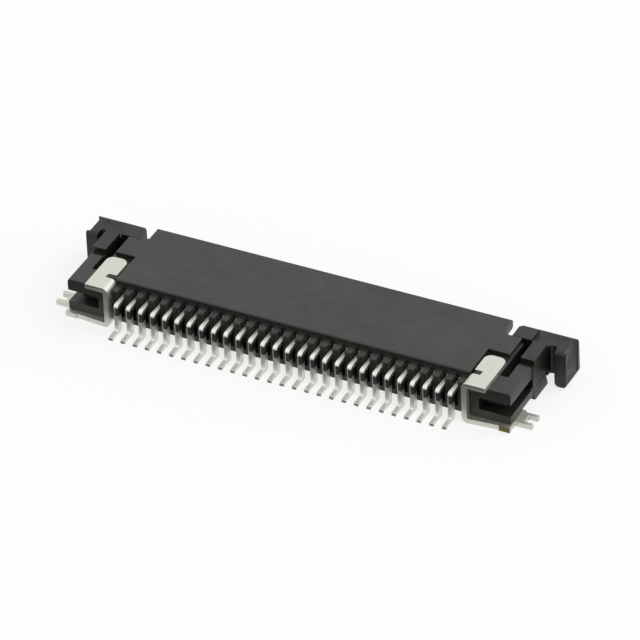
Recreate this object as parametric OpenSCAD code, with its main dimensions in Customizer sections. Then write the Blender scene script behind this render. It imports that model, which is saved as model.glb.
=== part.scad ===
// Right-angle surface-mount FPC connector with a slide lock, in millimetres.
// X runs along the contact row, +Y points out of the cable mouth, Z = 0 is the circuit board.
// The ends are mirror images, so each end piece is drawn once, on the +X side.

/* [Contact row] */
// Number of contacts
contacts = 28; // [10:1:40]
// Distance between neighbouring contacts
pitch = 0.5; // [0.5:0.05:1]
// Thickness of the sheet that the contacts are blanked from
contact_t = 0.17; // [0.12:0.01:0.2]
// Play on each side of a contact in its slot
slot_gap = 0.03; // [0.02:0.01:0.05]
// Reach of a solder tail in front of the contact's leg
tail_l = 0.52; // [0.4:0.01:0.55]
// Thickness of the solder tail
tail_t = 0.13; // [0.1:0.01:0.16]
// Height of the contact's run behind the plate
run_z = 1.25; // [1.2:0.01:1.3]

/* [Housing] */
// Depth from the tips of the solder tails to the backs of the slider's ears
depth = 5.14; // [5.1:0.01:5.2]
// Height of the top plate above the board
plate_top = 1.74; // [1.74:0.01:1.9]
// Thickness of the top plate at the cable mouth
plate_t = 0.37; // [0.32:0.01:0.37]
// Height of the comb walls and end blocks above the board
block_top = 1.54; // [1.5:0.01:1.54]
// Thickness of the floor under the cable
floor_t = 0.22; // [0.18:0.01:0.24]
// Length of each end block along the row
block_w = 1.58; // [1.5:0.01:1.65]
// Width of the flat cable past the outer contacts' centres, on each side
cable_margin = 0.5; // [0.45:0.01:0.52]

/* [Slider] */
// Travel of the slider from closed to open
travel = 1.0; // [0.7:0.05:1]
// Thickness of the tongue that lifts the cable
tongue_t = 0.27; // [0.2:0.01:0.27]
// Running clearance between the slider and the housing
play = 0.05; // [0.04:0.005:0.06]
// Height of the raised corners of the slider
corner_top = 1.71; // [1.6:0.01:1.74]
// Height of the ears' top above the board
ear_top = 1.54; // [1.45:0.01:1.6]
// Height of the ears' bottom above the board
ear_base = 0.03; // [0.02:0.01:0.15]
// Depth of the finger scoop in an ear
scoop_d = 0.13; // [0.05:0.01:0.15]

/* [Fitting nails] */
// Thickness of the nail sheet
nail_t = 0.2; // [0.15:0.01:0.2]
// Inner radius of the nail's two bends
nail_r = 0.04; // [0.03:0.01:0.06]
// Reach of the solder prongs past the end block
prong_l = 0.7; // [0.4:0.05:0.75]

/* [Hidden] */

// Round corners are true arcs of this many steps.
$fn = 32;
// Overcut that keeps cutting tools clear of the faces they pass through
eps = 0.1;

// Stations along Y, from the solder tails to the cable mouth
tail_y = -depth / 2;
leg_y = tail_y + tail_l;
nail_y = tail_y + 0.675;
near_y = tail_y + 0.95;
plate_y = tail_y + 1.4;
stop_y = tail_y + 1.85;
block_end_y = tail_y + 2.775;
foot_y = tail_y + 2.93;
shelf_y = tail_y + 2.95;
wall_end_y = tail_y + 4.03;
rib_end_y = tail_y + 4.25;
bar_y = tail_y + 4.3;
mouth_y = tail_y + 4.92;
face_y = tail_y + 5;

// Stations along X, from the middle of the row outwards
comb_x = contacts * pitch / 2 + 0.1;
cavity_x = (contacts - 1) * pitch / 2 + cable_margin + 0.05;
leg_x = comb_x + 0.035;
block_x = leg_x + nail_t + 0.04;
block_end_x = block_x + block_w;
shelf_x = block_x + 0.625;
slot_x = shelf_x + 0.1;
arm_x = slot_x + 0.325;
ear_x = block_end_x + 0.345;
ear_end_x = ear_x + 0.475;

// Stations along Z
base_z = nail_t;
floor_z = base_z + floor_t;
slot_z = floor_z + 0.03;
tongue_z = floor_z + 0.03;
tongue_top = tongue_z + tongue_t;
rib_z = 1.12;
roof_z = plate_top - plate_t;
lip_z = 0.55;
groove_z = 1.05;

// Side groove of the end block and the slider's rail in it
web_x = block_x + 0.325;
rail_x = web_x + 0.27;
rail_y = tail_y + 1.35;
hook_l = 0.2;
lug_y = rail_y + hook_l + travel + play / 2;

function contact_name(i) = str("contact_", i < 10 ? "0" : "", i);
function contact_x(i) = (i - (contacts + 1) / 2) * pitch;
// Points of an arc round c from angle a0 to angle a1
function arc(c, r, a0, a1, n = 5) =
    [for (k = [0 : n]) c + r * [cos(a0 + (a1 - a0) * k / n), sin(a0 + (a1 - a0) * k / n)]];

// A (y, z) outline carried along X, an (x, z) outline carried along Y, and an (x, y) plan raised along Z
module along_x(x0, x1) { translate([x0, 0, 0]) rotate([90, 0, 90]) linear_extrude(x1 - x0) children(); }
module along_y(y0, y1) { translate([0, y1, 0]) rotate([90, 0, 0]) linear_extrude(y1 - y0) children(); }
module along_z(z0, z1) { translate([0, 0, z0]) linear_extrude(z1 - z0) children(); }
module box(x0, x1, y0, y1, z0, z1) { translate([x0, y0, z0]) cube([x1 - x0, y1 - y0, z1 - z0]); }
module both_ends() { children(); mirror([1, 0, 0]) children(); }

// ---- Housing -------------------------------------------------------------------------------

// Rear wall, floor and overhanging roof in one section, open towards the cable
module shell_section() {
    edge = 0.04;
    polygon([
        [near_y + edge, base_z], [wall_end_y - edge, base_z], [wall_end_y, base_z + edge],
        [wall_end_y, floor_z - edge], [wall_end_y - edge, floor_z], [stop_y, floor_z],
        [stop_y, roof_z], [mouth_y - 2 * edge, roof_z], [mouth_y, roof_z + 2 * edge],
        [mouth_y, plate_top - edge], [mouth_y - edge, plate_top], [plate_y + edge, plate_top],
        [plate_y, plate_top - edge], [plate_y, block_top], [near_y + edge, block_top],
        [near_y, block_top - edge], [near_y, base_z + edge]
    ]);
}

// Ribs that hang from the roof and keep the contact beams apart
module rib_section() {
    polygon([
        [stop_y - eps, rib_z], [rib_end_y - 0.15, rib_z], [rib_end_y, roof_z], [rib_end_y, roof_z + eps],
        [stop_y - eps, roof_z + eps]
    ]);
}

// Slot of one contact: open on top behind the plate, then under the roof between two ribs
module contact_slot() {
    along_x(-contact_t / 2 - slot_gap, contact_t / 2 + slot_gap)
        polygon([
            [near_y - eps, slot_z], [stop_y + eps, slot_z], [stop_y + eps, rib_z - eps],
            [rib_end_y + eps, rib_z - eps], [rib_end_y + eps, roof_z], [plate_y, roof_z],
            [plate_y, block_top + eps], [near_y - eps, block_top + eps]
        ]);
}

// Side wall of the mouth: low beside the nail's tongue, then up to the plate's wide shoulder
module shoulder() {
    edge = 0.04;
    box(cavity_x - eps, slot_x, plate_y, wall_end_y, base_z, block_top);
    along_y(shelf_y, wall_end_y)
        polygon([
            [cavity_x - eps, base_z], [shelf_x, base_z], [shelf_x, plate_top - edge],
            [shelf_x - edge, plate_top], [cavity_x - eps, plate_top]
        ]);
}

// End block: a C-section whose side groove guides the slider's rail
module end_block() {
    edge = 0.05;
    along_y(near_y, block_end_y)
        polygon([
            [block_x, base_z], [block_end_x - edge, base_z], [block_end_x, base_z + edge],
            [block_end_x, lip_z], [web_x, lip_z], [web_x, groove_z], [block_end_x, groove_z],
            [block_end_x, block_top - 2 * edge], [block_end_x - edge, block_top], [block_x, block_top]
        ]);
    // lug that stops the rail's hook when the slider is open
    box(web_x - eps, rail_x - play / 2, lug_y, block_end_y, lip_z - eps, groove_z + eps);
}

// Lip under the slider's arm, with the foot that stands on the board
module lip_and_foot() {
    draft = 0.05;
    along_y(block_end_y - eps, wall_end_y)
        polygon([[web_x, base_z], [block_end_x, base_z], [block_end_x - draft, lip_z], [web_x, lip_z]]);
    along_y(foot_y, wall_end_y)
        polygon([
            [cavity_x, 0], [block_end_x + draft, 0], [block_end_x - draft, lip_z], [cavity_x, lip_z]
        ]);
}

module housing() {
    color("#35362f")
    difference() {
        union() {
            along_x(-cavity_x, cavity_x) shell_section();
            along_x(-comb_x, comb_x) rib_section();
            both_ends() {
                difference() {
                    shoulder();
                    box(web_x, slot_x + eps, plate_y - eps, wall_end_y + eps, lip_z, groove_z);
                }
                end_block();
                lip_and_foot();
            }
        }
        for (i = [1 : contacts]) translate([contact_x(i), 0, 0]) contact_slot();
        both_ends() {
            // slot for the nail's leg, open in front, on top and underneath
            box(comb_x, block_x, near_y - eps, plate_y, 0, plate_top + eps);
            // step beside the plate in which the nail's tongue lies
            box(leg_x + 0.03, slot_x, plate_y - eps, shelf_y, block_top, plate_top + eps);
            // slot in the top of the block beside the shoulder
            box(slot_x, arm_x, near_y + 0.95, wall_end_y, groove_z - eps, plate_top + eps);
            // notch that narrows the plate in front of the shoulder
            box(cavity_x - 0.065, cavity_x + eps, wall_end_y + 0.15, face_y, rib_z, plate_top + eps);
        }
    }
}

// ---- Slider --------------------------------------------------------------------------------

// Front bar under the mouth and the wedge tongue behind it, which lifts the cable
module tongue_section() {
    edge = 0.06;
    base = base_z + play;
    tip_y = stop_y + 0.3;
    polygon([
        [tip_y, tongue_z], [wall_end_y + play, tongue_z], [wall_end_y + play, base], [face_y - edge, base],
        [face_y, base + edge], [face_y, tongue_top - 3 * edge], [face_y - 3 * edge, tongue_top],
        [tip_y + 0.45, tongue_top], [tip_y, tongue_z + 0.4 * tongue_t]
    ]);
}

// Plan of the raised corner beside the mouth, its front corner cut off
module corner_plan() {
    x0 = cavity_x + 0.285;
    x1 = arm_x - 0.08;
    y1 = tail_y + 4.79;
    edge = 0.12;
    polygon([
        [x0, wall_end_y + play], [x1, wall_end_y + play], [x1, y1], [x0 + edge, y1], [x0, y1 - edge]
    ]);
}

// Plan of the bar from the raised corner to the ear, with rounded inner corners behind the ear
module ear_bar_plan() {
    r = 0.12;
    x0 = arm_x - 0.2;
    x1 = block_end_x + 0.02;
    polygon(concat(
        [[x0, wall_end_y + play], [x1, wall_end_y + play]],
        arc([x1 + r, bar_y - r], r, 180, 90),
        arc([ear_x - r, bar_y - r], r, 90, 0),
        [[ear_x + eps, bar_y - r], [ear_x + eps, face_y], [x0, face_y]]
    ));
}

// Bar between the raised corner and the ear, with a rounded corner under it where the ear hangs
module ear_bar() {
    r = 0.18;
    under_z = 0.3;
    along_z(under_z, ear_top) ear_bar_plan();
    box(arm_x - 0.2, arm_x + eps, wall_end_y + play, face_y, base_z + play, ear_top - eps);
    along_y(bar_y, face_y)
        polygon(concat([[ear_x + eps, under_z + eps], [ear_x - r, under_z + eps]],
                       arc([ear_x - r, under_z - r], r, 90, 0), [[ear_x + eps, under_z - r]]));
}

// Arm that runs back over the block's lip, stepped at its end
module arm_section() {
    end_y = wall_end_y + 2 * play;
    step_y = shelf_y + play / 2;
    step_z = block_top - 0.09;
    polygon([
        [block_end_y + play, lip_z + play], [end_y, lip_z + play], [end_y, corner_top - 0.01],
        [step_y, corner_top - 0.01], [step_y, step_z], [block_end_y + play, step_z]
    ]);
}

// Rail in the block's groove, with a hook that meets the block's lug when the slider is open
module rail() {
    box(rail_x, block_end_x - play, rail_y, wall_end_y + 2 * play, lip_z + play, groove_z - play);
    along_x(web_x + play, rail_x + eps)
        polygon([
            [rail_y, lip_z + play], [rail_y + hook_l, lip_z + play], [rail_y + hook_l, groove_z - play],
            [rail_y + hook_l / 2, groove_z - play], [rail_y, groove_z - 3 * play]
        ]);
}

// Side view of the ear in (y, z)
module ear_side() {
    y0 = wall_end_y - 0.1;
    y1 = depth / 2;
    polygon(concat(
        [[y0, ear_base]],
        arc([y1 - 0.12, ear_base + 0.12], 0.12, -90, 0),
        arc([y1 - 0.25, ear_top - 0.23], 0.25, 0, 90),
        [[y1 - 0.3, ear_top]],
        arc([y0 + 0.14, ear_top - 0.14], 0.14, 90, 180)
    ));
}

// Front view of the ear in (x, z), round at the bottom
module ear_front() {
    r = 0.17;
    polygon(concat(
        arc([ear_x + r, ear_base + r], r, 180, 270),
        arc([ear_end_x - r, ear_base + r], r, 270, 360),
        [[ear_end_x, plate_top], [ear_x, plate_top]]
    ));
}

// Finger scoop in the ear's outer face: open on top, deeper above, running out towards the back
module scoop() {
    y0 = wall_end_y - 0.025;
    intersection() {
        along_z(0, plate_top)
            polygon([
                [ear_end_x + eps, y0 - 0.04], [ear_end_x - scoop_d, y0 + 0.05], [ear_end_x - scoop_d, y0 + 0.8],
                [ear_end_x - 0.3 * scoop_d, y0 + 0.96], [ear_end_x + eps, y0 + 1]
            ]);
        along_y(y0 - eps, face_y)
            polygon([
                [ear_end_x + eps, 0.1], [ear_end_x, 0.16], [ear_end_x - 0.4 * scoop_d, 0.26],
                [ear_end_x - 0.4 * scoop_d, 0.72], [ear_end_x - scoop_d - eps, 0.95],
                [ear_end_x - scoop_d - eps, plate_top], [ear_end_x + eps, plate_top]
            ]);
    }
}

// Grip blade of the slider
module ear() {
    difference() {
        intersection() {
            along_x(ear_x, ear_end_x) ear_side();
            along_y(wall_end_y - 0.1, depth / 2) ear_front();
        }
        scoop();
    }
}

module slider() {
    color("#2a2b27")
    union() {
        along_x(-cavity_x + 0.1, cavity_x - 0.1) tongue_section();
        along_x(-arm_x, arm_x)
            intersection() {
                tongue_section();
                translate([wall_end_y + play, 0]) square([2, 2]);
            }
        both_ends() {
            along_z(base_z + play, corner_top) corner_plan();
            ear_bar();
            along_x(arm_x, block_end_x + 0.02) arm_section();
            rail();
            ear();
        }
    }
}

// ---- Fitting nails -------------------------------------------------------------------------

// The nail's leg with its two true bends, in (x, z)
module nail_section() {
    r = nail_r + nail_t;
    top = block_top + nail_t;
    translate([leg_x, r]) square([nail_t, top - 2 * r]);
    for (end = [0, 1])
        translate([leg_x + r, end == 0 ? r : top - r])
            difference() {
                circle(r);
                circle(nail_r);
                translate([0, -r - eps]) square(2 * (r + eps));
                translate([-r - eps, end == 0 ? 0 : -r - eps]) square([2 * (r + eps), r + eps]);
            }
}

// Plan of the tab and tongue that hold down the block
module tongue_plan() {
    x0 = leg_x + nail_r + nail_t;
    x1 = shelf_x + 0.08;
    inner_x = leg_x + 0.115;
    relief_x = inner_x + 0.325;
    leg_end_y = plate_y - 0.025;
    relief_y = leg_end_y + 0.25;
    end_y = shelf_y - 0.3;
    r = 0.28;
    polygon(concat(
        [[x0, nail_y], [x1, nail_y]],
        arc([x1 - r, end_y - r], r, 0, 90),
        arc([inner_x + r, end_y - r], r, 90, 180),
        [[inner_x, relief_y], [relief_x, relief_y], [relief_x, leg_end_y], [x0, leg_end_y]]
    ));
}

// Plan of the solder tab with its carrier stub and two prongs
module solder_plan() {
    x0 = leg_x + nail_r + nail_t;
    stub_x = block_end_x + 0.05;
    notch_x = block_end_x + 0.35;
    tip_x = block_end_x + prong_l;
    prong_y = tail_y + 1.215;
    prong_w = 0.16;
    back_y = tail_y + 1.75;
    end_y = tail_y + 2;
    polygon([
        [x0, nail_y + 0.1], [block_end_x - 0.4, nail_y + 0.1], [block_end_x - 0.4, nail_y + 0.05],
        [stub_x, nail_y + 0.05], [stub_x, prong_y], [tip_x, prong_y], [tip_x, prong_y + prong_w],
        [notch_x, prong_y + prong_w], [notch_x, back_y], [tip_x, back_y], [tip_x, back_y + prong_w],
        [stub_x + 0.1, back_y + prong_w], [stub_x + 0.1, end_y], [x0 + 0.15, end_y],
        [x0 + 0.15, plate_y - 0.025], [x0, plate_y - 0.025]
    ]);
}

module fitting_nail() {
    color("#dcdcd2") {
        along_y(nail_y, plate_y - 0.025) nail_section();
        along_z(block_top, block_top + nail_t) tongue_plan();
        along_z(0, nail_t) solder_plan();
    }
}

// ---- Contacts ------------------------------------------------------------------------------

// Blanked outline in (y, z): solder tail, leg, run into the slot, barbed root and spring beam
module contact_outline() {
    leg_t = 0.25;
    back_y = leg_y + leg_t;
    root_y = plate_y + 0.05;
    root_end_y = stop_y - 0.05;
    bump_y = stop_y + 2;
    polygon(concat(
        // underside: tail, heel, back of the leg, root, beam and bump
        [[tail_y, 0]],
        arc([back_y - 0.1, 0.1], 0.1, -90, 0, 3),
        arc([back_y + 0.1, run_z - 0.35], 0.1, 180, 90, 3),
        [[root_y, run_z - 0.25], [root_y, slot_z + 0.1], [root_y + 0.05, slot_z], [root_end_y, slot_z]],
        arc([root_end_y + 0.1, 0.92], 0.1, 180, 90, 3),
        [[bump_y - 0.3, 1.12]],
        arc([bump_y, 1.05], 0.08, 210, 330, 4),
        // upper side: tip, beam, shoulder under the plate, run, bend, front of the leg and tail
        [[bump_y + 0.25, 1.2], [bump_y + 0.25, 1.27], [stop_y + 0.65, 1.3], [stop_y + 0.15, 1.3],
         [root_end_y + 0.1, roof_z], [root_y, roof_z], [root_y, run_z]],
        arc([leg_y + 0.13, run_z - 0.13], 0.13, 90, 180, 4),
        arc([leg_y - 0.08, tail_t + 0.08], 0.08, 0, -90, 3),
        [[tail_y, tail_t]]
    ));
}

module contact(i) {
    color("#e6e7dd")
    translate([contact_x(i), 0, 0]) along_x(-contact_t / 2, contact_t / 2) contact_outline();
}

housing();
slider();
mirror([1, 0, 0]) fitting_nail();  // fitting_nail_left
fitting_nail();  // fitting_nail_right
for (i = [1 : contacts]) contact(i);
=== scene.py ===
from math import copysign, cos, radians, sin

import bmesh
import bpy
from mathutils import Matrix, Vector


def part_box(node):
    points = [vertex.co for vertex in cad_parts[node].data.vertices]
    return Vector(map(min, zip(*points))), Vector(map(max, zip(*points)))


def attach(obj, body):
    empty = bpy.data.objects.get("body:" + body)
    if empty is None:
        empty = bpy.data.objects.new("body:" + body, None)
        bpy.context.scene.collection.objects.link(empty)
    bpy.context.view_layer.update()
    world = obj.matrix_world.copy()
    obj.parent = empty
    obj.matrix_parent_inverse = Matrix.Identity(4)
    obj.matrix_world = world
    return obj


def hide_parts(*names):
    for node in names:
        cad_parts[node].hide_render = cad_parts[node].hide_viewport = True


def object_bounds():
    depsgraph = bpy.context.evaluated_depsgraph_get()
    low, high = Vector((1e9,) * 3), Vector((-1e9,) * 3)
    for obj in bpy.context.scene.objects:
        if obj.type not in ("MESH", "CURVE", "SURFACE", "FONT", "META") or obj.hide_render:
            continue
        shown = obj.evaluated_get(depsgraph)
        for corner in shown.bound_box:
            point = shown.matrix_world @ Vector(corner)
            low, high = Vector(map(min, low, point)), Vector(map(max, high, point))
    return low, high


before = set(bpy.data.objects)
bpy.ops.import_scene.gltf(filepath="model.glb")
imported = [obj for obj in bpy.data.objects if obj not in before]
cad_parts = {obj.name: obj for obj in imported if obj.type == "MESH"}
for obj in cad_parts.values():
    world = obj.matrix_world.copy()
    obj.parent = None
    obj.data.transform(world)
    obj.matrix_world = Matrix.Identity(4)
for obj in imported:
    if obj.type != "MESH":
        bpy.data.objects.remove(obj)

cad_box = [list(corner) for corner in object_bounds()]

# ---- Housing -------------------------------------------------------------------------------
# The housing is one moulding of black, glass-filled liquid crystal polymer. It is shot through a
# small gate on the top plate and pushed out of its steel mould by pins from underneath. The comb
# on the solder side holds the contacts, and the two end blocks guide the slider.

mm = 0.001
housing_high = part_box("housing")[1]
housing_corner = 0.014 * mm
grain_size = 0.06 * mm
grain_depth = 0.004 * mm
flow_size = 1.2 * mm
gate_centre = (-0.27 * mm, housing_high.y - 0.85 * mm, housing_high.z)
gate_radius = 0.15 * mm
gate_slope = 0.04 * mm
gate_ring = 0.025 * mm
pin_spacing = 4 * mm
pin_y = 0.6 * mm
pin_radius = 0.35 * mm
pin_slope = 0.03 * mm
underside_z = 0.27 * mm
# how deep the pins' dents are and how high the gate's disc stands, in depths of the grain
pin_dent = 5
gate_rise = 2.5

# Points of a solid's mesh this close together are one point, and faces this flat are one face.
same_place = 0.0001 * mm
same_plane = radians(0.5)
# Edges sharper than this are rounded, where both ends have this many radii of room and this wide
# an angle.
sharp_angle = radians(32)
room_in_radii = 2.4
narrowest_angle = radians(25)


def linear(colour):
    """The linear colour, with alpha, of an sRGB hex value."""
    parts = [int(colour[i:i + 2], 16) / 255 for i in (1, 3, 5)]
    return [c / 12.92 if c <= 0.04045 else ((c + 0.055) / 1.055) ** 2.4 for c in parts] + [1]


def node(tree, kind, inputs=None, **settings):
    """Adds a node with its settings. An input is given a value or linked to another node's output."""
    made = tree.nodes.new(kind)
    for name, value in settings.items():
        setattr(made, name, value)
    for socket, value in (inputs or {}).items():
        if isinstance(value, bpy.types.NodeSocket):
            tree.links.new(value, made.inputs[socket])
        else:
            made.inputs[socket].default_value = value
    return made


def new_material(name):
    """An empty material and its node tree."""
    material = bpy.data.materials.new(name)
    material.use_nodes = True
    material.node_tree.nodes.clear()
    return material, material.node_tree


def rounded_copy(source, name, radius, material, broad=None, broad_radius=0, trim=None):
    """A copy of a CAD solid with its flat faces made whole and its sharp edges rounded off.

    The edges that broad picks get the broad radius. Before that, trim reshapes the copy's mesh."""
    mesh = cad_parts[source].data.copy()
    mesh.name = name
    if mesh.has_custom_normals:
        mesh.attributes.remove(mesh.attributes["custom_normal"])
    bm = bmesh.new()
    bm.from_mesh(mesh)
    bmesh.ops.remove_doubles(bm, verts=bm.verts, dist=same_place)
    bmesh.ops.dissolve_limit(bm, angle_limit=same_plane, verts=bm.verts, edges=bm.edges)
    if trim:
        trim(bm)
    for face in bm.faces:
        face.smooth = True
    # A corner with a very short edge or a sliver of a face has no room for a round, and stays sharp.
    tight = {
        vert for vert in bm.verts
        if any(edge.calc_length() < room_in_radii * radius for edge in vert.link_edges)
        or any(loop.calc_angle() < narrowest_angle for loop in vert.link_loops)
    }
    weight = bm.edges.layers.float.new("bevel_weight_edge")
    widest = max(radius, broad_radius)
    for edge in bm.edges:
        edge.smooth = edge.calc_face_angle(0) < sharp_angle
        if not edge.smooth and not tight & set(edge.verts):
            edge[weight] = (broad_radius if broad and broad(edge) else radius) / widest
            edge.smooth = True
    bm.to_mesh(mesh)
    bm.free()
    mesh.materials.clear()
    mesh.materials.append(material)
    piece = bpy.data.objects.new(name, mesh)
    bpy.context.scene.collection.objects.link(piece)
    bevel = piece.modifiers.new("rounded edges", "BEVEL")
    bevel.affect = "EDGES"
    bevel.width = widest
    bevel.segments = 3 if broad else 2
    bevel.profile = 0.5
    bevel.material = -1
    bevel.limit_method = "WEIGHT"
    bevel.use_clamp_overlap = False
    bevel.harden_normals = True
    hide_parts(source)
    return piece


# Plastic off a fine spark-eroded mould: near-black and satin, with a slight sheen that shows the
# room on its flat faces. It has a fine grain and the cloudy flow of the melt, and where a gate
# broke off, a low rough disc in a paler ring.
def moulded_plastic(name, colour, pale, index, gate=None):
    material, tree = new_material(name)
    where = node(tree, "ShaderNodeTexCoord").outputs["Object"]
    # the real grain is about 0.03 mm, and is drawn twice as coarse so that it shows
    grain = node(tree, "ShaderNodeTexNoise", {
        "Vector": where, "Scale": 1 / grain_size, "Detail": 3, "Roughness": 0.6}).outputs["Fac"]
    flow = node(tree, "ShaderNodeTexNoise", {
        "Vector": where, "Scale": 1 / flow_size, "Detail": 4, "Distortion": 0.8}).outputs["Fac"]
    # two parts of grain to three of flow
    speck = node(tree, "ShaderNodeMath", {0: grain, 1: 0.4}, operation="MULTIPLY").outputs[0]
    cloud = node(tree, "ShaderNodeMath", {0: flow, 1: 0.6, 2: speck}, operation="MULTIPLY_ADD").outputs[0]
    paleness = node(tree, "ShaderNodeMapRange", {
        "Value": cloud, "From Min": 0.33, "From Max": 0.67}).outputs["Result"]
    # ejector pins leave shallow round dents in the underside of the floor
    place = node(tree, "ShaderNodeSeparateXYZ", {"Vector": where})
    along = node(tree, "ShaderNodeMath", {0: place.outputs["X"], 1: pin_spacing / 2}, operation="PINGPONG")
    beside = node(tree, "ShaderNodeMath", {0: place.outputs["Y"], 1: pin_y}, operation="SUBTRACT")
    from_pin = node(tree, "ShaderNodeCombineXYZ", {"X": along.outputs[0], "Y": beside.outputs[0]})
    reach = node(tree, "ShaderNodeVectorMath", {0: from_pin.outputs[0]}, operation="LENGTH")
    round_pin = node(tree, "ShaderNodeMapRange", {
        "Value": reach.outputs["Value"], "From Min": pin_radius - pin_slope, "From Max": pin_radius})
    under = node(tree, "ShaderNodeMath", {0: place.outputs["Z"], 1: underside_z}, operation="LESS_THAN")
    floor_level = node(tree, "ShaderNodeMath", {
        0: round_pin.outputs["Result"], 1: under.outputs[0]}, operation="MULTIPLY")
    height = node(tree, "ShaderNodeMath", {
        0: floor_level.outputs[0], 1: pin_dent, 2: grain}, operation="MULTIPLY_ADD").outputs[0]
    if gate:
        away = node(tree, "ShaderNodeVectorMath", {0: where, 1: gate}, operation="DISTANCE").outputs["Value"]
        disc = node(tree, "ShaderNodeMapRange", {
            "Value": away, "From Min": gate_radius, "From Max": gate_radius - gate_slope})
        ring = node(tree, "ShaderNodeMath", {0: away, 1: gate_radius, 2: gate_ring}, operation="COMPARE")
        paleness = node(tree, "ShaderNodeMath", {
            0: ring.outputs[0], 1: 0.8, 2: paleness}, operation="MULTIPLY_ADD").outputs[0]
        height = node(tree, "ShaderNodeMath", {
            0: disc.outputs["Result"], 1: gate_rise, 2: height}, operation="MULTIPLY_ADD").outputs[0]
    tint = node(tree, "ShaderNodeMix", {
        "Factor": paleness, "A": linear(colour), "B": linear(pale)}, data_type="RGBA")
    rough = node(tree, "ShaderNodeMapRange", {
        "Value": cloud, "From Min": 0.35, "From Max": 0.65, "To Min": 0.47, "To Max": 0.38})
    bump = node(tree, "ShaderNodeBump", {"Height": height, "Strength": 0.5, "Distance": grain_depth})
    shader = node(tree, "ShaderNodeBsdfPrincipled", {
        "Base Color": tint.outputs["Result"], "Roughness": rough.outputs["Result"], "IOR": index,
        "Normal": bump.outputs["Normal"]})
    node(tree, "ShaderNodeOutputMaterial", {"Surface": shader.outputs["BSDF"]})
    return material


# Glass-filled LCP: a faintly green black, cloudier and a little shinier than the slider.
black_lcp = moulded_plastic("black_glass_filled_LCP", "#12150e", "#2b2f26", 1.58, gate_centre)
housing = rounded_copy("housing", "housing_moulding", housing_corner, black_lcp)
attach(housing, "base")

# ---- Contacts ------------------------------------------------------------------------------
# Each contact is blanked on edge from phosphor bronze sheet, plated all over with nickel and
# tinned on its tail and leg, and pressed into its slot from the solder side. A darker grey band is
# painted round the upper leg as a painted dark reflection.

contact_corner = 0.012 * mm
contact_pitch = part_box("contact_02")[0].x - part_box("contact_01")[0].x
contact_mottle = 0.08 * mm
mottle_depth = 0.001 * mm
painted_band_from = 0.74 * mm
painted_band_to = 1.14 * mm
painted_band_waver = 0.12 * mm
lower_blur = 0.06 * mm
upper_blur = 0.04 * mm
# across a contact in pitches, where 0.5 is its middle: its rolled-over left edge is left pale as a painted
# highlight
highlight_edge_to = 0.39
painted_band_face_from = 0.43
tail_top_z = 0.16 * mm
leg_from_z = 0.3 * mm


# Bright tin plating: pale grey metal with a soft shine, and a darker grey band painted round the
# upper leg as a painted dark reflection.
def plated_bronze(name):
    material, tree = new_material(name)
    where = node(tree, "ShaderNodeTexCoord").outputs["Object"]
    place = node(tree, "ShaderNodeSeparateXYZ", {"Vector": where})
    mottle = node(tree, "ShaderNodeTexNoise", {
        "Vector": where, "Scale": 1 / contact_mottle, "Detail": 3}).outputs["Fac"]
    # the edges of the painted band waver a little from contact to contact
    shift = node(tree, "ShaderNodeMath", {0: mottle, 1: 0.5}, operation="SUBTRACT").outputs[0]
    level = node(tree, "ShaderNodeMath", {
        0: shift, 1: painted_band_waver, 2: place.outputs["Z"]}, operation="MULTIPLY_ADD").outputs[0]
    above = node(tree, "ShaderNodeMapRange", {
        "Value": level, "From Min": painted_band_from, "From Max": painted_band_from + lower_blur})
    below = node(tree, "ShaderNodeMapRange", {
        "Value": level, "From Min": painted_band_to, "From Max": painted_band_to - upper_blur})
    pitches = node(tree, "ShaderNodeMath", {0: place.outputs["X"], 1: contact_pitch}, operation="DIVIDE")
    across = node(tree, "ShaderNodeMath", {0: pitches.outputs[0]}, operation="FRACT")
    # 0 along each contact's left edge, which keeps a painted highlight, and 1 across the rest
    inside = node(tree, "ShaderNodeMapRange", {
        "Value": across.outputs[0], "From Min": highlight_edge_to, "From Max": painted_band_face_from})
    # the painted dark reflection: a darker band round the upper leg, without the left edge
    band = node(tree, "ShaderNodeMath", {
        0: above.outputs[0], 1: below.outputs[0]}, operation="MULTIPLY")
    bare_stub_and_painted_band = node(tree, "ShaderNodeMath", {
        0: band.outputs[0], 1: inside.outputs[0]}, operation="MULTIPLY")
    tin = node(tree, "ShaderNodeMix", {
        "Factor": mottle, "A": linear("#e2e3dc"), "B": linear("#f4f5ee")}, data_type="RGBA")
    metal = node(tree, "ShaderNodeMix", {
        "Factor": bare_stub_and_painted_band.outputs[0], "A": tin.outputs["Result"], "B": linear("#5a5f5b")}, data_type="RGBA")
    # the solder tails are duller than the rest
    dull = node(tree, "ShaderNodeMapRange", {
        "Value": place.outputs["Z"], "From Min": tail_top_z, "From Max": leg_from_z,
        "To Min": 0.5, "To Max": 0.42})
    rough = node(tree, "ShaderNodeMath", {
        0: mottle, 1: 0.1, 2: dull.outputs[0]}, operation="MULTIPLY_ADD")
    bump = node(tree, "ShaderNodeBump", {"Height": mottle, "Strength": 0.3, "Distance": mottle_depth})
    shader = node(tree, "ShaderNodeBsdfPrincipled", {
        "Base Color": metal.outputs["Result"], "Metallic": 1.0, "Roughness": rough.outputs[0],
        "Normal": bump.outputs["Normal"]})
    node(tree, "ShaderNodeOutputMaterial", {"Surface": shader.outputs["BSDF"]})
    return material


contact_plating = plated_bronze("tin_with_painted_band_on_phosphor_bronze")
for source in sorted(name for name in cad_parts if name.startswith("contact_")):
    contact = rounded_copy(source, source + "_blank", contact_corner, contact_plating)
    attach(contact, "base")

# ---- Fitting nails -------------------------------------------------------------------------
# The two fitting nails are stamped and folded from 0.2 mm phosphor bronze strip and tinned. The
# tongue holds the end block down and the tab underneath is soldered to the board. The stub where
# the right nail was cut from its carrier strip shows the bare bronze.

nail_low, nail_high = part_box("fitting_nail_right")
nail_corner = 0.015 * mm
nail_mottle = 0.12 * mm
nail_mottle_depth = 0.0015 * mm
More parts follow.
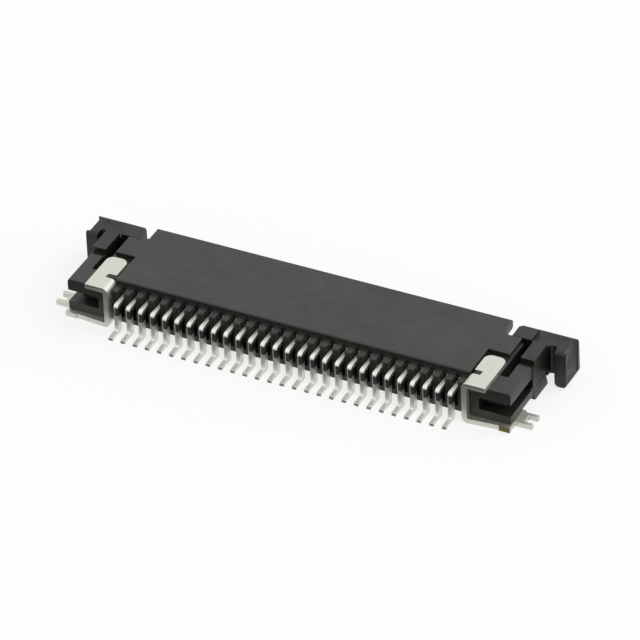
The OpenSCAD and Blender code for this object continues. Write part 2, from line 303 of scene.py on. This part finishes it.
# the bend takes up the sheet's 0.2 mm and its inner radius of 0.04 mm
bend_end_x = nail_low.x + 0.24 * mm
leg_near_y = nail_low.y
tab_near_y = nail_low.y + 0.1 * mm
stub_from_x = nail_high.x - 1.075 * mm
stub_cut_y = nail_low.y + 0.075 * mm
tongue_break_z = nail_high.z - 0.05 * mm
# the width of the painted shade line on the tongue's sheared edge
shade_line_width = 0.012 * mm


# Satin tin plating, almost white where it faces the light, with a faint mottle.
def tinned_bronze(name):
    material, tree = new_material(name)
    where = node(tree, "ShaderNodeTexCoord").outputs["Object"]
    place = node(tree, "ShaderNodeSeparateXYZ", {"Vector": where})
    mottle = node(tree, "ShaderNodeTexNoise", {
        "Vector": where, "Scale": 1 / nail_mottle, "Detail": 4}).outputs["Fac"]
    tin = node(tree, "ShaderNodeMix", {
        "Factor": mottle, "A": linear("#cacac1"), "B": linear("#d8d8cf")}, data_type="RGBA")
    # the sheared edge of the tongue, which faces the solder side to within 45 degrees, gets a painted
    # shade line: a dark line where the cut ends and the break begins
    surface = node(tree, "ShaderNodeNewGeometry")
    facing = node(tree, "ShaderNodeSeparateXYZ", {"Vector": surface.outputs["Normal"]})
    edge = node(tree, "ShaderNodeMath", {0: facing.outputs["Y"], 1: -0.7}, operation="LESS_THAN")
    line = node(tree, "ShaderNodeMath", {
        0: place.outputs["Z"], 1: tongue_break_z, 2: shade_line_width}, operation="COMPARE")
    painted_edge_shade = node(tree, "ShaderNodeMath", {0: edge.outputs[0], 1: line.outputs[0]}, operation="MULTIPLY")
    tin_and_edge_shade = node(tree, "ShaderNodeMix", {
        "Factor": painted_edge_shade.outputs[0], "A": tin.outputs["Result"], "B": linear("#5c5c56")}, data_type="RGBA")
    # bare, tarnished bronze where the right nail's stub was cut from the carrier
    stub = node(tree, "ShaderNodeMath", {0: place.outputs["X"], 1: stub_from_x}, operation="GREATER_THAN")
    cut = node(tree, "ShaderNodeMath", {0: place.outputs["Y"], 1: stub_cut_y}, operation="LESS_THAN")
    bare_stub_and_painted_band = node(tree, "ShaderNodeMath", {0: stub.outputs[0], 1: cut.outputs[0]}, operation="MULTIPLY")
    metal = node(tree, "ShaderNodeMix", {
        "Factor": bare_stub_and_painted_band.outputs[0], "A": tin_and_edge_shade.outputs["Result"], "B": linear("#6a6742")}, data_type="RGBA")
    rough = node(tree, "ShaderNodeMapRange", {
        "Value": mottle, "From Min": 0.3, "From Max": 0.7, "To Min": 0.45, "To Max": 0.55})
    bump = node(tree, "ShaderNodeBump", {"Height": mottle, "Strength": 0.3, "Distance": nail_mottle_depth})
    shader = node(tree, "ShaderNodeBsdfPrincipled", {
        "Base Color": metal.outputs["Result"], "Metallic": 1.0, "Roughness": rough.outputs["Result"],
        "Normal": bump.outputs["Normal"]})
    node(tree, "ShaderNodeOutputMaterial", {"Surface": shader.outputs["BSDF"]})
    return material


def same_level(value, level):
    """Whether a coordinate is at a level, to a thousandth of a millimetre."""
    return abs(value - level) < 0.001 * mm


def run_tab_out_of_bend(bm):
    """Brings the near corner of the solder tab level with the leg, so that one flows into the other."""
    for vert in bm.verts:
        if same_level(abs(vert.co.x), bend_end_x) and same_level(vert.co.y, tab_near_y):
            vert.co.y = leg_near_y
    bmesh.ops.remove_doubles(bm, verts=bm.verts, dist=same_place)


nail_plating = tinned_bronze("satin_tin_on_phosphor_bronze")
for side in ("left", "right"):
    nail = rounded_copy("fitting_nail_" + side, "nail_stamping_" + side, nail_corner, nail_plating,
                        trim=run_tab_out_of_bend)
    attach(nail, "base")

# ---- Slider --------------------------------------------------------------------------------
# The slider is a second moulding, of a heat-proof polyamide a shade browner than the housing.
# Its tongue wedges the flat cable against the contacts, its arms run along the end blocks, and
# the ears at its ends are pulled out or pushed in with two fingernails.

slider_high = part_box("slider")[1]
slider_corner = 0.014 * mm
ear_edge_radius = 0.06 * mm
ear_outer_x = slider_high.x - 0.005 * mm
ear_far_y = slider_high.y - 0.12 * mm
rail_outer_x = housing_high.x - 0.1 * mm
rail_bottom_z = 0.6 * mm
rail_top_z = 1.0 * mm
rail_set_back = 0.35 * mm


def outer_ear_edge(edge):
    """Whether an edge runs round the cable end of an ear's outer face."""
    return all(abs(vert.co.x) > ear_outer_x and vert.co.y > ear_far_y for vert in edge.verts)


def set_rails_back(bm):
    """Moves each rail's outer face inwards, so that the rail lies deep in its groove."""
    for vert in bm.verts:
        on_rail = same_level(vert.co.z, rail_bottom_z) or same_level(vert.co.z, rail_top_z)
        if on_rail and same_level(abs(vert.co.x), rail_outer_x):
            vert.co.x -= copysign(rail_set_back, vert.co.x)


# Heat-proof polyamide: a browner, more even black with a fainter sheen.
slider_black = moulded_plastic("black_heatproof_polyamide", "#11110c", "#1f1f19", 1.5)
slider = rounded_copy("slider", "slider_moulding", slider_corner, slider_black,
                      outer_ear_edge, ear_edge_radius, set_rails_back)
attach(slider, "lock")

# ---- Floor ---------------------------------------------------------------------------------
# The part stands on a sheet of matt white card, wide enough for every view. A grey sheet lies in
# front of the part where only reflections see it. It is a painted dark reflection that keeps the
# faces that look that way dark.

floor_half = 300 * mm
floor_glow = 1.5
glow_share = 0.5
grey_half_x = 16 * mm
grey_half_y = 8 * mm
grey_z = 0.004 * mm
# the grey sheet's far edge lies just under the tips of the solder tails
grey_y = cad_box[0][1] + 0.07 * mm - grey_half_y


def level_sheet(name, half_x, half_y, y, z, material):
    """A flat sheet that lies level, half_x and half_y from its middle to its edges."""
    bm = bmesh.new()
    bmesh.ops.create_grid(bm, x_segments=1, y_segments=1, size=1)
    bmesh.ops.scale(bm, vec=(half_x, half_y, 1), verts=bm.verts)
    bmesh.ops.translate(bm, vec=(0, y, z), verts=bm.verts)
    mesh = bpy.data.meshes.new(name)
    bm.to_mesh(mesh)
    bm.free()
    mesh.materials.append(material)
    sheet = bpy.data.objects.new(name, mesh)
    bpy.context.scene.collection.objects.link(sheet)
    return sheet


def seen_by_eye(tree):
    """An output that is 1 for what is seen straight, in a reflection or through glass, and else 0."""
    path = node(tree, "ShaderNodeLightPath")
    straight_or_mirrored = node(tree, "ShaderNodeMath", {
        0: path.outputs["Is Camera Ray"], 1: path.outputs["Is Glossy Ray"]}, operation="MAXIMUM")
    seen = node(tree, "ShaderNodeMath", {
        0: straight_or_mirrored.outputs[0], 1: path.outputs["Is Transmission Ray"]}, operation="MAXIMUM")
    return seen.outputs[0]


# Matt white card: an even white that takes the part's soft shadow. It glows a little to the eye
# only, so that it looks white without lighting the part more than real card does.
white_card, tree = new_material("white_card")
matt_white = node(tree, "ShaderNodeBsdfDiffuse", {"Color": linear("#e4e4e2")})
glow = node(tree, "ShaderNodeEmission", {"Strength": floor_glow})
glowing = node(tree, "ShaderNodeMixShader", {
    0: glow_share, 1: matt_white.outputs[0], 2: glow.outputs[0]})
card = node(tree, "ShaderNodeMixShader", {
    0: seen_by_eye(tree), 1: matt_white.outputs[0], 2: glowing.outputs[0]})
node(tree, "ShaderNodeOutputMaterial", {"Surface": card.outputs[0]})
floor = level_sheet("floor_card", floor_half, floor_half, 0, 0, white_card)

# Matt grey sheet seen only in reflections: a painted dark reflection, an even darker patch in what the shiny
# faces reflect.
painted_reflection_grey, tree = new_material("painted_reflection_grey")
matt_grey = node(tree, "ShaderNodeBsdfDiffuse", {"Color": linear("#5a5a58")})
node(tree, "ShaderNodeOutputMaterial", {"Surface": matt_grey.outputs[0]})
painted_reflection_sheet = level_sheet("painted_reflection_sheet", grey_half_x, grey_half_y, grey_y, grey_z, painted_reflection_grey)
painted_reflection_sheet.visible_camera = False
painted_reflection_sheet.visible_diffuse = False
painted_reflection_sheet.visible_transmission = False
painted_reflection_sheet.visible_shadow = False

# ---- Light ---------------------------------------------------------------------------------
# A white room lights the part evenly from all round. One broad soft lamp, high up on the right
# and a little behind, brightens the tops and the right-hand faces.

room_strength = 0.4
room_strength_seen = 1.0
lamp_place = Vector((273 * mm, 164 * mm, 318 * mm))
lamp_size = 600 * mm
lamp_power = 0.9

world = bpy.data.worlds.new("white_room")
bpy.context.scene.world = world
world.use_nodes = True
tree = world.node_tree
tree.nodes.clear()
strength = node(tree, "ShaderNodeMapRange", {
    "Value": seen_by_eye(tree), "To Min": room_strength, "To Max": room_strength_seen})
room = node(tree, "ShaderNodeBackground", {"Color": linear("#ffffff"), "Strength": strength.outputs[0]})
node(tree, "ShaderNodeOutputWorld", {"Surface": room.outputs[0]})

light = bpy.data.lights.new("lamp_right", "AREA")
light.shape = "SQUARE"
light.size = lamp_size
light.energy = lamp_power
lamp = bpy.data.objects.new("lamp_right", light)
bpy.context.scene.collection.objects.link(lamp)
lamp.matrix_world = Matrix.LocRotScale(lamp_place, lamp_place.to_track_quat("Z", "Y"), None)

# ---- Camera --------------------------------------------------------------------------------
# A long lens looks down on the solder side from the right, with the camera turned a little about
# its own axis.

azimuth = radians(27.60)
elevation = radians(35.73)
roll = radians(-2.34)
part_middle = (Vector(cad_box[0]) + Vector(cad_box[1])) / 2
aim = part_middle + Vector((0.165, 0.811, -0.17)) * mm
distance = 224.7 * mm
focal_length = 346.2
sensor_width = 36

back = Vector((sin(azimuth) * cos(elevation), -cos(azimuth) * cos(elevation), sin(elevation)))
level_right = Vector((cos(azimuth), sin(azimuth), 0))
level_up = back.cross(level_right)
right = cos(roll) * level_right + sin(roll) * level_up
up = -sin(roll) * level_right + cos(roll) * level_up
lens = bpy.data.cameras.new("long_lens")
lens.sensor_width = sensor_width
lens.lens = focal_length
lens.clip_start = 10 * mm
lens.clip_end = 2000 * mm
camera = bpy.data.objects.new("camera", lens)
bpy.context.scene.collection.objects.link(camera)
turn = Matrix((right, up, back)).transposed().to_4x4()
camera.matrix_world = Matrix.Translation(aim + back * distance) @ turn
bpy.context.scene.camera = camera
bpy.context.scene.view_settings.view_transform = "Standard"
